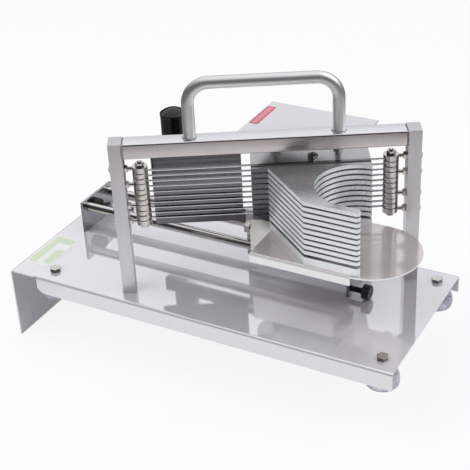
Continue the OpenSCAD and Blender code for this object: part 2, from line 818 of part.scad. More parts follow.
module panel_screws() {
    color(nickel) on_base() for (p = panel_screw_at) translate([p[0], panel_y0, p[1]]) rotate([-90, 0, 0]) {
        cylinder(d = panel_screw_d, h = sheet_t + web_t);
        translate([0, 0, -panel_screw_head_h]) cylinder(d = panel_screw_head_d, h = panel_screw_head_h);
    }
}

module handle_post() {
    color(satin) on_base() {
        translate([arm_x0, web_y1, arm_z0])
            cube([post_block_w, grip_y + post_rod_d / 2 - web_y1, post_block_z1 - arm_z0]);
        translate([grip_x, grip_y, post_block_z1]) cylinder(d = post_rod_d, h = post_top - post_block_z1);
    }
}

module handle_grip() {
    body_h = grip_z1 - grip_dome - grip_z0;
    color(black) on_base() translate([grip_x, grip_y, grip_z0]) difference() {
        union() {
            cylinder(d = grip_d, h = body_h);
            intersection() {
                translate([0, 0, body_h]) cylinder(d = grip_d, h = grip_dome);
                translate([0, 0, body_h + grip_dome - dome_r]) sphere(dome_r);
            }
        }
        translate([0, 0, -cut]) cylinder(d = post_rod_d + 2 * hole_gap, h = post_top - grip_z0 + cut);
    }
}

base_plate();
for (i = [1 : 4]) foot_cup(i);
foot_bolts();
left_end_plate();
right_end_plate();
guide_rod(rod_y);  // front_guide_rod
guide_rod(rod_rear_y);  // rear_guide_rod
bumper(rail_inner_left);  // bumper_1
bumper(rail_inner_right - bumper_len);  // bumper_2
thumbscrew();
upright(false);  // left_upright
upright(true);  // right_upright
top_beam();
carry_handle();
tension_bolt(false);  // left_tension_bolt
tension_bolt(true);  // right_tension_bolt
column_spacers(false);  // left_spacers
column_spacers(true);  // right_spacers
tension_nuts();
eye_bolts(false);  // left_eye_bolts
eye_bolts(true);  // right_eye_bolts
eye_nuts();
for (i = [1 : blade_count]) blade(i);
carriage_web();
front_slider();
rear_slider();
slider_bolts();
deck_tray();
pusher_base();
for (i = [1 : blade_count]) pusher_plate(i);
plate_spacers();
stack_studs();
stack_nuts();
top_guard();
finger_guard();
panel_screws();
handle_post();
handle_grip();
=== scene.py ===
"""Dressed scene of a push slicer: a blade frame on a folded base and a pusher that slides on two rods."""

import logging
import math
from dataclasses import dataclass
from enum import Enum
from typing import Sequence

import bmesh
import bpy
from bmesh.types import BMesh
from mathutils import Matrix, Vector


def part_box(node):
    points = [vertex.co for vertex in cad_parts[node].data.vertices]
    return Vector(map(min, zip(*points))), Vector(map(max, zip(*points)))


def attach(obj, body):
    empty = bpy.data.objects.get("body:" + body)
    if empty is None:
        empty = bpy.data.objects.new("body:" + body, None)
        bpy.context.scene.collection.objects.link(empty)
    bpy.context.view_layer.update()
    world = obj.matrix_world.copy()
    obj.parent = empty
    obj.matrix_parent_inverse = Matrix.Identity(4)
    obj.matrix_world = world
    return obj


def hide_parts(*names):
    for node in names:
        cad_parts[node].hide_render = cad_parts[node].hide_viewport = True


Socket = bpy.types.NodeSocket
Pair = tuple[float, float]
Triple = tuple[float, float, float]

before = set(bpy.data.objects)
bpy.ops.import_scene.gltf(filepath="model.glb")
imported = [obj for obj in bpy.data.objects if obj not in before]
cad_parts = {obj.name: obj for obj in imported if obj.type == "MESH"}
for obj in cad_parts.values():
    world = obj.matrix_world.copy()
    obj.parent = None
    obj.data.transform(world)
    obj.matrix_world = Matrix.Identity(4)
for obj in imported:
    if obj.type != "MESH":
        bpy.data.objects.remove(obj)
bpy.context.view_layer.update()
MM = 0.001
MERGE_MM = 0.001
FLAT_DEGREES = 0.6
FACING = 0.9
CARD_MM = 0.12
COARSE = 2.0
MEDIUM = 3.0
FINE = 4.0
WHITE = (1.0, 1.0, 1.0, 1.0)
FRAME_TURN = math.radians(29.4)
log = logging.getLogger("push_slicer")


class Body(Enum):
    """Bodies of the slicer that pieces ride on."""

    BASE = "base"
    CARRIAGE = "carriage"
    THUMBSCREW = "thumbscrew"


class Grain(Enum):
    """Direction of the brushing on a metal surface, as a turn about the upright axis or upright itself."""

    ALONG_BASE = "along_base"
    ACROSS_BASE = "across_base"
    ALONG_FRAME = "along_frame"
    UPRIGHT = "upright"

    def turn(self) -> float:
        """Angle of the streaks about the upright axis, in radians."""
        return {"across_base": math.pi / 2, "along_frame": FRAME_TURN}.get(self.value, 0.0)

    def streak(self, length: float, width: float) -> Triple:
        """Size of one streak along the turned axes.

        Args:
            length: length of a streak, in metres.
            width: width of a streak, in metres.

        Returns:
            The three sizes of a streak, in metres.
        """
        return (width, width, length) if self is Grain.UPRIGHT else (length, width, width)


class Graph:
    """Node tree of a material or the world, with short calls that add and join nodes."""

    def __init__(self, tree: bpy.types.NodeTree) -> None:
        """Starts from an empty tree.

        Args:
            tree: the node tree to fill.
        """
        self.tree = tree
        tree.nodes.clear()

    def add(self, kind: str, inputs: dict | None = None, **settings: object) -> bpy.types.Node:
        """Adds one node.

        Args:
            kind: the node's type name.
            inputs: values or sockets for its inputs, by name or number.
            settings: values for the node's own properties.

        Returns:
            The new node.
        """
        node = self.tree.nodes.new(kind)
        for name, value in settings.items():
            setattr(node, name, value)
        for key, value in (inputs or {}).items():
            if isinstance(value, Socket):
                self.tree.links.new(value, node.inputs[key])
            else:
                node.inputs[key].default_value = value
        return node

    def place(self) -> Socket:
        """Coordinates on the piece itself, in metres."""
        return self.add("ShaderNodeTexCoord").outputs["Object"]

    def noise(self, vector: Socket, scale: float, detail: float) -> Socket:
        """Adds a noise texture.

        Args:
            vector: coordinates to read.
            scale: features per unit of the coordinates.
            detail: number of finer layers.

        Returns:
            The socket of the noise value.
        """
        return self.add("ShaderNodeTexNoise", {"Vector": vector, "Scale": scale, "Detail": detail}).outputs[0]

    def spread(self, value: Socket, low: float, high: float, start: float = 0.3, stop: float = 0.7) -> Socket:
        """Maps a value onto a new range; the default start and stop suit a noise value.

        Args:
            value: socket to map.
            low: result at start.
            high: result at stop.
            start: value that gives low.
            stop: value that gives high.

        Returns:
            The socket of the mapped value.
        """
        return self.add("ShaderNodeMapRange", {0: value, 1: start, 2: stop, 3: low, 4: high}).outputs[0]

    def join(self, first: Socket, second: Socket, work: str) -> Socket:
        """Joins two values by one arithmetic step.

        Args:
            first: first value.
            second: second value.
            work: name of the step, such as ADD or MULTIPLY.

        Returns:
            The socket of the result.
        """
        return self.add("ShaderNodeMath", {0: first, 1: second}, operation=work).outputs[0]

    def tint(self, share: Socket, low: Sequence[float], high: Sequence[float]) -> Socket:
        """Blends two colours.

        Args:
            share: socket that gives the share of the second colour.
            low: first colour.
            high: second colour.

        Returns:
            The socket of the blended colour.
        """
        mixed = self.add("ShaderNodeMix", {0: share, 6: (*low, 1.0), 7: (*high, 1.0)}, data_type="RGBA")
        return mixed.outputs[2]

    def close(self, shader: bpy.types.Node, kind: str = "ShaderNodeOutputMaterial") -> None:
        """Joins a shader to the tree's output.

        Args:
            shader: node whose first output is the shader.
            kind: type name of the output node.
        """
        self.add(kind, {"Surface": shader.outputs[0]})

    def skin(self, height: Socket, bump: float, relief_mm: float, inputs: dict[str, object]) -> None:
        """Adds a surface with a fine relief and joins it to the output.

        Args:
            height: socket of the relief's height.
            bump: strength of the relief.
            relief_mm: depth of the relief.
            inputs: other values or sockets of the surface shader.
        """
        relief = self.add("ShaderNodeBump", {"Strength": bump, "Distance": relief_mm * MM, "Height": height})
        self.close(self.add("ShaderNodeBsdfPrincipled", {"Normal": relief.outputs[0], **inputs}))


@dataclass(frozen=True)
class Finish:
    """Common start of every finish: a name and a colour as linear red, green and blue."""

    name: str
    colour: Triple

    def material(self) -> bpy.types.Material:
        """Material of this finish, made on first use."""
        made = bpy.data.materials.get(self.name)
        if made is None:
            made = bpy.data.materials.new(self.name)
            made.use_nodes = True
            self.draw(Graph(made.node_tree))
        return made

    def shade(self, amount: float) -> Triple:
        """The finish's colour made darker or lighter by a factor."""
        return tuple(min(1.0, channel * amount) for channel in self.colour)

    def draw(self, graph: Graph) -> None:
        """Fills the material's node tree.

        Args:
            graph: empty tree of the new material.
        """
        raise NotImplementedError


@dataclass(frozen=True)
class MetalFinish(Finish):
    """Brushed, satin or polished metal: streaks, wiped patches and fine scratches."""

    roughness: float = 0.3
    vary: float = 0.08
    grain: Grain = Grain.ALONG_BASE
    streak_mm: Pair = (60.0, 0.35)
    contrast: float = 0.06
    bump: float = 0.15
    metallic: float = 1.0
    wipe_scale: float = 22.0
    speck_scale: float = 260.0
    streak_share: float = 0.7
    speck_height: float = 0.25
    relief_mm: float = 0.03

    def draw(self, graph: Graph) -> None:
        """Fills the material's node tree.

        Args:
            graph: empty tree of the new material.
        """
        place = graph.place()
        length, width = self.streak_mm
        lined = graph.add("ShaderNodeMapping", {
            "Vector": place, "Rotation": (0.0, 0.0, self.grain.turn()),
            "Scale": self.grain.streak(length * MM, width * MM)}, vector_type="TEXTURE").outputs[0]
        streaks = graph.noise(lined, 1.0, FINE)
        wiped = graph.noise(place, self.wipe_scale, COARSE)
        specks = graph.noise(place, self.speck_scale, COARSE)
        share = graph.join(graph.spread(streaks, 0.0, self.streak_share),
                           graph.spread(wiped, 0.0, 1.0 - self.streak_share), "ADD")
        colour = graph.tint(share, self.shade(1.0 - self.contrast), self.shade(1.0 + self.contrast))
        half = self.vary / 2
        rough = graph.join(graph.spread(streaks, self.roughness - self.vary, self.roughness + self.vary),
                           graph.spread(wiped, -half, half), "ADD")
        height = graph.join(streaks, graph.spread(specks, 0.0, self.speck_height), "ADD")
        graph.skin(height, self.bump, self.relief_mm,
                   {"Base Color": colour, "Metallic": self.metallic, "Roughness": rough})


@dataclass(frozen=True)
class MouldedFinish(Finish):
    """Moulded plastic or rubber: mottled colour, a pebbled skin and rubbed patches."""

    roughness: float = 0.4
    pebble_mm: float = 0.6
    mottle: float = 0.12
    bump: float = 0.2
    glow: float = 0.0
    mottle_scale: float = 45.0
    rub_scale: float = 130.0
    vary: float = 0.06
    relief_mm: float = 0.05
    glow_mm: Triple = (2.0, 1.6, 1.0)

    def draw(self, graph: Graph) -> None:
        """Fills the material's node tree.

        Args:
            graph: empty tree of the new material.
        """
        place = graph.place()
        mottled = graph.noise(place, self.mottle_scale, FINE)
        rubbed = graph.noise(place, self.rub_scale, COARSE)
        pebbles = graph.add("ShaderNodeTexVoronoi", {"Vector": place, "Scale": 1.0 / (self.pebble_mm * MM)},
                            feature="SMOOTH_F1").outputs["Distance"]
        colour = graph.tint(graph.spread(mottled, 0.0, 1.0), self.shade(1.0 - self.mottle),
                            self.shade(1.0 + self.mottle))
        rough = graph.spread(rubbed, self.roughness - self.vary, self.roughness + self.vary)
        graph.skin(pebbles, self.bump, self.relief_mm, {
            "Base Color": colour, "Roughness": rough, "Subsurface Weight": self.glow,
            "Subsurface Radius": tuple(depth * MM for depth in self.glow_mm)})


@dataclass(frozen=True)
class ClearRubberFinish(Finish):
    """Soft see-through vinyl with faint clouds."""

    roughness: float = 0.16
    cloud_scale: float = 120.0
    cloud_shades: Pair = (0.88, 1.08)
    cloud_rough: Pair = (-0.05, 0.08)
    bump: float = 0.1
    relief_mm: float = 0.1
    clearness: float = 0.72
    bending: float = 1.46

    def draw(self, graph: Graph) -> None:
        """Fills the material's node tree.

        Args:
            graph: empty tree of the new material.
        """
        clouds = graph.noise(graph.place(), self.cloud_scale, MEDIUM)
        dark, light = self.cloud_shades
        smoother, rougher = self.cloud_rough
        colour = graph.tint(graph.spread(clouds, 0.0, 1.0), self.shade(dark), self.shade(light))
        rough = graph.spread(clouds, self.roughness + smoother, self.roughness + rougher)
        graph.skin(clouds, self.bump, self.relief_mm, {
            "Base Color": colour, "Roughness": rough, "IOR": self.bending,
            "Transmission Weight": self.clearness})


@dataclass(frozen=True)
class PaperFinish(Finish):
    """Printed label stock under a thin varnish, with a fine fibre."""

    roughness: float = 0.35
    fibre_scale: float = 900.0
    fade_scale: float = 60.0
    fade_shades: Pair = (0.94, 1.05)
    bump: float = 0.1
    relief_mm: float = 0.03
    varnish: float = 0.2
    varnish_rough: float = 0.25

    def draw(self, graph: Graph) -> None:
        """Fills the material's node tree.

        Args:
            graph: empty tree of the new material.
        """
        place = graph.place()
        fibre = graph.noise(place, self.fibre_scale, FINE)
        faded = graph.noise(place, self.fade_scale, COARSE)
        dark, light = self.fade_shades
        share = graph.join(graph.spread(fibre, 0.0, 0.5), graph.spread(faded, 0.0, 0.5), "ADD")
        colour = graph.tint(share, self.shade(dark), self.shade(light))
        graph.skin(fibre, self.bump, self.relief_mm, {
            "Base Color": colour, "Roughness": self.roughness, "Coat Weight": self.varnish,
            "Coat Roughness": self.varnish_rough})


BASE_SHEET = MetalFinish(
    "base_sheet_polish", (0.80, 0.79, 0.83), roughness=0.05, vary=0.02,
    streak_mm=(90.0, 0.5), contrast=0.02, bump=0.01, metallic=0.45)
# Painted shade: the inside of the lip gets a darker, fully mirrored copy of the base sheet's metal.
LIP_INSIDE_SHADE = MetalFinish(
    "lip_inside_painted_shade", (0.70, 0.69, 0.73), roughness=0.06, vary=0.02,
    grain=Grain.UPRIGHT, streak_mm=(40.0, 0.5), contrast=0.03, bump=0.02)
# Painted shade: the foot bolts' sides are a dark copy of their nickel tops.
BOLT_SIDE_SHADE = MetalFinish(
    "bolt_side_painted_shade", (0.17, 0.165, 0.16), roughness=0.16, vary=0.05,
    grain=Grain.UPRIGHT, streak_mm=(4.0, 0.8), contrast=0.15)
SATIN_UPRIGHT = MetalFinish(
    "satin_upright", (0.72, 0.71, 0.73), roughness=0.40, vary=0.06,
    grain=Grain.UPRIGHT, streak_mm=(50.0, 0.5), contrast=0.03)
# Painted light and shade on one beam: the top faces take a light copy, the sides a darker brownish copy.
BEAM_TOP_LIGHT = MetalFinish(
    "beam_top_painted_light", (0.84, 0.83, 0.85), roughness=0.25, vary=0.06,
    grain=Grain.ALONG_FRAME, streak_mm=(90.0, 0.6), contrast=0.04)
BEAM_SIDE_SHADE = MetalFinish(
    "beam_side_painted_shade", (0.63, 0.575, 0.575), roughness=0.22, vary=0.08,
    grain=Grain.ALONG_FRAME, streak_mm=(90.0, 1.6), contrast=0.10)
# Painted reflection: the rail plates' metal is darkened to stand in for the dark surroundings it mirrors.
RAIL_PLATE_DARK = MetalFinish(
    "rail_plate_painted_dark", (0.34, 0.33, 0.36), roughness=0.12, vary=0.04,
    grain=Grain.UPRIGHT, streak_mm=(50.0, 0.4), contrast=0.05)
SATIN_PLATE = MetalFinish(
    "satin_plate", (0.62, 0.61, 0.63), roughness=0.22, vary=0.07,
    streak_mm=(50.0, 0.4), contrast=0.05)
POLISHED_BAR = MetalFinish(
    "polished_bar", (0.62, 0.59, 0.59), roughness=0.05, vary=0.02,
    grain=Grain.ALONG_FRAME, streak_mm=(40.0, 0.5), contrast=0.05, bump=0.03)
GROUND_ROD = MetalFinish(
    "ground_rod", (0.70, 0.68, 0.65), roughness=0.13, vary=0.04,
    grain=Grain.ACROSS_BASE, streak_mm=(6.0, 0.3), contrast=0.05)
NICKEL = MetalFinish(
    "nickel_plate", (0.64, 0.61, 0.58), roughness=0.16, vary=0.06,
    grain=Grain.UPRIGHT, streak_mm=(6.0, 1.2), contrast=0.08)
WELD = MetalFinish(
    "weld_metal", (0.58, 0.57, 0.59), roughness=0.22, vary=0.08,
    grain=Grain.ALONG_FRAME, streak_mm=(2.0, 1.0), contrast=0.14, bump=0.4)
PLATE_FLAT = MetalFinish(
    "plate_flat_satin", (0.55, 0.55, 0.56), roughness=0.25, vary=0.06,
    streak_mm=(60.0, 0.6), contrast=0.05, bump=0.04, metallic=0.75)
PLATE_END = MetalFinish(
    "plate_end_shaded", (0.13, 0.13, 0.14), roughness=0.22, vary=0.06,
    grain=Grain.ALONG_FRAME, streak_mm=(8.0, 0.5), contrast=0.2)
# Painted highlight: the plates' edges are a bright copy of the plate metal; the ends at the comb take the
# painted shade above.
PLATE_EDGE_LIGHT = MetalFinish(
    "plate_edge_painted_light", (0.86, 0.90, 0.92), roughness=0.30, vary=0.06,
    streak_mm=(30.0, 0.4), contrast=0.03, bump=0.1, metallic=0.55)
# Painted light and shade on one deck sheet: the lip's faces take a lighter copy, the top a darker pinkish
# copy that stands in for shade and a reflected tint.
DECK_LIP_LIGHT = MetalFinish(
    "deck_lip_painted_light", (0.88, 0.88, 0.88), roughness=0.2, vary=0.05,
    streak_mm=(60.0, 0.5), contrast=0.025, bump=0.03, metallic=0.4)
DECK_TOP_SHADE = MetalFinish(
    "deck_top_painted_shade", (0.71, 0.655, 0.65), roughness=0.13, vary=0.04,
    streak_mm=(60.0, 0.5), contrast=0.025, bump=0.03, metallic=0.45)
GUARD_SHEET = MetalFinish(
    "guard_sheet_satin", (0.79, 0.79, 0.815), roughness=0.30, vary=0.05,
    streak_mm=(60.0, 0.5), contrast=0.02, bump=0.015, metallic=0.6)
# Painted shade: the guard's underside is a dark copy of the guard sheet.
GUARD_UNDERSIDE_SHADE = MetalFinish(
    "guard_underside_painted_shade", (0.13, 0.11, 0.105), roughness=0.2, vary=0.05,
    streak_mm=(60.0, 0.5), contrast=0.1)
# Painted reflection: the finger panel's metal is painted dark to stand in for the dark surroundings it
# mirrors.
PANEL_PAINTED_DARK = MetalFinish(
    "panel_painted_dark_reflection", (0.165, 0.158, 0.17), roughness=0.16, vary=0.05,
    grain=Grain.UPRIGHT, streak_mm=(40.0, 0.5), contrast=0.08)
# Painted light on the blades: flats painted dark as a reflection of dark surroundings, edges painted bright
# as a highlight.
BLADE_FLAT_DARK = MetalFinish(
    "blade_flat_painted_dark", (0.20, 0.20, 0.215), roughness=0.20, vary=0.06,
    grain=Grain.ALONG_FRAME, streak_mm=(40.0, 0.25), contrast=0.10)
BLADE_EDGE_LIGHT = MetalFinish(
    "blade_edge_painted_light", (0.84, 0.84, 0.85), roughness=0.18, vary=0.05,
    grain=Grain.ALONG_FRAME, streak_mm=(0.8, 0.1), contrast=0.08)
GRIP_PLASTIC = MouldedFinish(
    "grip_plastic", (0.004, 0.004, 0.005), roughness=0.16, pebble_mm=0.5,
    mottle=0.25, bump=0.03)
KNOB_PLASTIC = MouldedFinish(
    "knob_plastic", (0.016, 0.016, 0.017), roughness=0.36, pebble_mm=0.5,
    mottle=0.25, bump=0.15)
STOP_RUBBER = MouldedFinish(
    "stop_rubber", (0.014, 0.014, 0.015), roughness=0.55, pebble_mm=0.7, mottle=0.3,
    bump=0.35)
NYLON = MouldedFinish(
    "slider_nylon", (0.87, 0.86, 0.83), roughness=0.38, pebble_mm=0.8, mottle=0.06,
    bump=0.12, glow=0.15)
CLEAR_RUBBER = ClearRubberFinish("clear_foot_vinyl", (0.82, 0.835, 0.95))
LABEL_WHITE = PaperFinish("label_white", (0.88, 0.89, 0.87))
LABEL_GREEN = PaperFinish("label_green", (0.66, 0.77, 0.58))
STRIP_PINK = PaperFinish("strip_pink", (0.76, 0.24, 0.32))
STRIP_RED = PaperFinish("strip_red", (0.52, 0.09, 0.14))


def merged_copy(node: str) -> BMesh:
    """Copies a CAD node's mesh, merges its points and joins its flat triangles.

    Args:
        node: name of the CAD node.

    Returns:
        The merged mesh.
    """
    bm = bmesh.new()
    bm.from_mesh(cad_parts[node].data)
    bmesh.ops.remove_doubles(bm, verts=bm.verts, dist=MERGE_MM * MM)
    bmesh.ops.dissolve_limit(bm, angle_limit=math.radians(FLAT_DEGREES), verts=bm.verts, edges=bm.edges)
    return bm


def soften(bm: BMesh, edge_mm: float, turn: float = 40.0) -> BMesh:
    """Rounds the sharp edges of a mesh.

    Args:
        bm: mesh to round.
        edge_mm: width of the rounding.
        turn: angle between faces, in degrees, above which an edge is rounded.

    Returns:
        The same mesh.
    """
    sharp = [edge for edge in bm.edges
             if len(edge.link_faces) == 2 and edge.calc_face_angle(0.0) > math.radians(turn)]
    bmesh.ops.bevel(bm, geom=sharp, offset=edge_mm * MM, offset_type="OFFSET", segments=2, profile=0.5,
                    affect="EDGES", clamp_overlap=True, material=-1)
    return bm


def turned(profile: Sequence[Pair], steps: int = 64) -> BMesh:
    """Spins a profile about the upright axis.

    Args:
        profile: radius and height of each point, in millimetres, from the lower axis to the upper one.
        steps: number of faces round the axis.

    Returns:
        The closed mesh.
    """
    bm = bmesh.new()
    points = [bm.verts.new((radius * MM, 0.0, height * MM)) for radius, height in profile]
    lines = [bm.edges.new(pair) for pair in zip(points, points[1:])]
    bmesh.ops.spin(bm, geom=points + lines, cent=(0, 0, 0), axis=(0, 0, 1), angle=math.tau, steps=steps,
                   use_merge=True)
    bmesh.ops.remove_doubles(bm, verts=bm.verts, dist=MERGE_MM * MM)
    bmesh.ops.recalc_face_normals(bm, faces=bm.faces)
    return bm


def threaded(radius_mm: float, length_mm: float, pitch_mm: float, plain_mm: float = 0.0) -> BMesh:
    """Makes a threaded rod on the upright axis, from height 0 up.

    Args:
        radius_mm: outer radius of the thread.
        length_mm: length of the rod.
        pitch_mm: distance between turns.
        plain_mm: length of the plain shank below the thread.

    Returns:
        The rod's mesh.
    """
    bm = bmesh.new()
    depth_share = 0.55
    root = radius_mm - depth_share * pitch_mm
    tooth = [(root, 0.0), (radius_mm, 0.38), (radius_mm, 0.52), (root, 0.9), (root, 1.0)]
    points = [bm.verts.new((radius * MM, 0.0, (plain_mm + part * pitch_mm) * MM)) for radius, part in tooth]
    lines = [bm.edges.new(pair) for pair in zip(points, points[1:])]
    turns = max(1, int((length_mm - plain_mm) / pitch_mm) - 1)
    steps = 20
    bmesh.ops.spin(bm, geom=points + lines, cent=(0, 0, 0), axis=(0, 0, 1), angle=math.tau * turns,
                   steps=steps * turns, dvec=(0, 0, pitch_mm * MM / steps))
    bmesh.ops.remove_doubles(bm, verts=bm.verts, dist=2 * MERGE_MM * MM)
    bmesh.ops.recalc_face_normals(bm, faces=bm.faces)
    overlap = 0.02
    neck = root + overlap
    shank = radius_mm - overlap if plain_mm else neck
    core = turned([(0, 0), (shank - 0.1, 0), (shank, 0.1), (shank, plain_mm + 0.1), (neck, plain_mm + 0.3),
                   (neck, length_mm - 0.4), (root - 0.3, length_mm), (0, length_mm)], steps)
    return gather([bm, core])


def gather(parts: Sequence[BMesh]) -> BMesh:
    """Puts several meshes into one.

    Args:
        parts: meshes to join; they are freed.

    Returns:
        The joined mesh.
    """
    whole = bmesh.new()
    for part in parts:
        carrier = bpy.data.meshes.new("carrier")
        part.to_mesh(carrier)
        part.free()
        whole.from_mesh(carrier)
        bpy.data.meshes.remove(carrier)
    return whole


def moved(bm: BMesh, matrix: Matrix) -> BMesh:
    """Moves a mesh to its place.

    Args:
        bm: mesh to move.
        matrix: turn and shift, in metres.

    Returns:
        The same mesh.
    """
    bmesh.ops.transform(bm, matrix=matrix, verts=bm.verts)
    return bm


def stand_at(low: Sequence[float], high: Sequence[float], height: float) -> Matrix:
    """Shift of an upright piece to the middle of a box's plan.

    Args:
        low: lowest corner of the box, in metres.
        high: highest corner of the box, in metres.
        height: height of the piece's foot, in metres.

    Returns:
        The shift.
    """
    return Matrix.Translation(((low[0] + high[0]) / 2, (low[1] + high[1]) / 2, height))


def lie_at(low: Sequence[float], high: Sequence[float], to_right: bool) -> Matrix:
    """Turn and shift that lay an upright piece along X in a box.

    Args:
        low: lowest corner of the box, in metres.
        high: highest corner of the box, in metres.
        to_right: whether the piece's top points to the right.

    Returns:
        The turn and shift.
    """
    foot = low[0] if to_right else high[0]
    shift = Matrix.Translation((foot, (low[1] + high[1]) / 2, (low[2] + high[2]) / 2))
    return shift @ Matrix.Rotation(math.pi / 2 if to_right else -math.pi / 2, 4, "Y")


def lay(bm: BMesh, name: str, finishes: Sequence[Finish], body: Body,
        nodes: Sequence[str] = (), smooth: float = 40.0) -> None:
    """Makes a piece of a mesh and joins it to its body.

    Args:
        bm: finished mesh, which is freed.
        name: name of the piece.
        finishes: finishes of the mesh's material numbers.
        body: body that the piece rides on.
        nodes: CAD nodes that the piece stands for.
        smooth: angle between faces, in degrees, up to which they shade as one.
    """
    mesh = bpy.data.meshes.new(name)
    bm.to_mesh(mesh)
    bm.free()
    mesh.shade_smooth()
    mesh.set_sharp_from_angle(angle=math.radians(smooth))
    for finish in finishes:
        mesh.materials.append(finish.material())
    piece = bpy.data.objects.new(name, mesh)
    bpy.context.scene.collection.objects.link(piece)
    even = piece.modifiers.new("even_light", "WEIGHTED_NORMAL")
    even.keep_sharp = True
    if nodes:
        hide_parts(*nodes)
    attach(piece, body.value)
    log.info("%s: %d faces on %s", name, len(mesh.polygons), body.value)


def lay_node(bm: BMesh, node: str, finishes: Sequence[Finish], body: Body, smooth: float = 40.0) -> None:
    """Makes the piece that stands for one CAD node.

    Args:
        bm: finished mesh, which is freed.
        node: name of the CAD node.
        finishes: finishes of the mesh's material numbers.
        body: body that the piece rides on.
        smooth: angle between faces, in degrees, up to which they shade as one.
    """
    lay(bm, f"{node}_finished", finishes, body, [node], smooth)


def dress(node: str, finish: Finish, body: Body, edge_mm: float) -> None:
    """Makes the rounded piece of a CAD node in one finish.

    Args:
        node: name of the CAD node.
        finish: finish of the piece.
        body: body that the piece rides on.
        edge_mm: width of the edge rounding.
    """
    lay_node(soften(merged_copy(node), edge_mm), node, [finish], body)


def edge_lit(bm: BMesh, flat: float = FACING) -> BMesh:
    """Gives a flat plate's edges the second material number.

    Args:
        bm: mesh of a level plate.
        flat: upright part of a face's normal above which the face counts as flat.

    Returns:
        The same mesh.
    """
    for face in bm.faces:
        face.material_index = 0 if abs(face.normal.z) > flat else 1
    return bm


def islands(node: str) -> list[tuple[Vector, Vector]]:
    """Finds the boxes of a CAD node's separate solids.

    Args:
        node: name of the CAD node.

    Returns:
        Lowest and highest corner of each solid, in metres.
    """
    bm = merged_copy(node)
    left = set(bm.verts)
    boxes = []
    while left:
        group, waiting = set(), [left.pop()]
        while waiting:
            vert = waiting.pop()
            group.add(vert)
            fresh = [link.other_vert(vert) for link in vert.link_edges if link.other_vert(vert) in left]
            left.difference_update(fresh)
            waiting.extend(fresh)
        low = Vector(min(vert.co[axis] for vert in group) for axis in range(3))
        high = Vector(max(vert.co[axis] for vert in group) for axis in range(3))
        boxes.append((low, high))
    bm.free()
    return boxes


def raise_faces(bm: BMesh, height: float, keep: bool) -> None:
    """Gives a flat mesh its thickness.

    Args:
        bm: flat mesh.
        height: thickness, in metres.
        keep: whether the lower faces stay.
    """
    raised = bmesh.ops.extrude_face_region(bm, geom=bm.faces[:], use_keep_orig=keep)
    lifted = [item for item in raised["geom"] if isinstance(item, bmesh.types.BMVert)]
    bmesh.ops.translate(bm, vec=(0, 0, height), verts=lifted)
    bmesh.ops.recalc_face_normals(bm, faces=bm.faces)


def card(length_mm: float, width_mm: float, corner_mm: float, inset_mm: float) -> BMesh:
    """Makes a thin card with rounded corners and a second material inside its border.

    Args:
        length_mm: size along X.
        width_mm: size along Y.
        corner_mm: radius of the corners.
        inset_mm: width of the border.

    Returns:
        The card, centred on the origin with its lower face at height 0.
    """
    bm = bmesh.new()
    bmesh.ops.create_grid(bm, x_segments=1, y_segments=1, size=0.5)
    bmesh.ops.scale(bm, vec=(length_mm * MM, width_mm * MM, 1.0), verts=bm.verts)
    corners = bm.verts[:]
    field = bm.faces[:]
    bmesh.ops.inset_region(bm, faces=field, thickness=inset_mm * MM, use_boundary=True, use_even_offset=True)
    field[0].material_index = 1
    bmesh.ops.bevel(bm, geom=corners, offset=corner_mm * MM, offset_type="OFFSET", segments=4, profile=0.5,
                    affect="VERTICES", material=-1)
    raise_faces(bm, CARD_MM * MM, True)
    return bm


@dataclass(frozen=True)
class LabelCard:
    """One card of the label, with its size and its shift as shares of the whole label's length and width."""

    name: str
    size: Pair
    shift: Pair
    corner_mm: float
    border_mm: float
    rise_mm: float
    field: Finish


